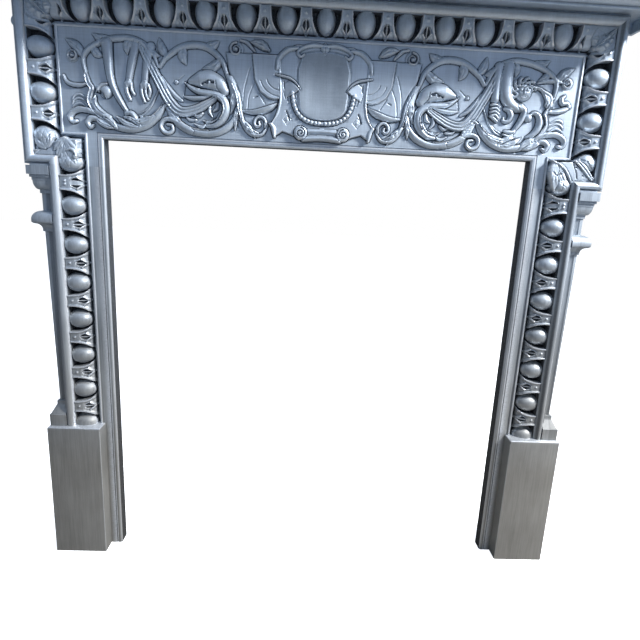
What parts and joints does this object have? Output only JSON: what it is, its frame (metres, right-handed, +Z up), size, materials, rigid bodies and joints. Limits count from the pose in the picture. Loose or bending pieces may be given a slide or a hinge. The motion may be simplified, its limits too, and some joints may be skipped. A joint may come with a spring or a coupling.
{
  "type": "fireplace surround",
  "caption": "Cast iron fireplace surround with lugged egg-and-dart moulding, arabesque frieze with cartouche, side pilasters, plain plinths and a shelf.",
  "frame": {"origin": "middle of the footprint at hearth level, half the shelf's depth in front of the wall", "axes": "+X to the viewer's right along the wall, +Y back into the wall, +Z up"},
  "size_m": [1.416, 0.17, 1.329],
  "materials": {
    "left_jamb": "burnished, bright on the high parts and near black in the sunk parts",
    "right_jamb": "burnished, bright on the high parts and near black in the sunk parts",
    "header": "burnished, bright on the high parts and near black in the sunk parts",
    "mantel_shelf": "burnished"
  },
  "bodies": {
    "root": {"left_jamb": "left_jamb", "right_jamb": "right_jamb", "header": "header", "mantel_shelf": "mantel_shelf"}
  },
  "joints": []
}
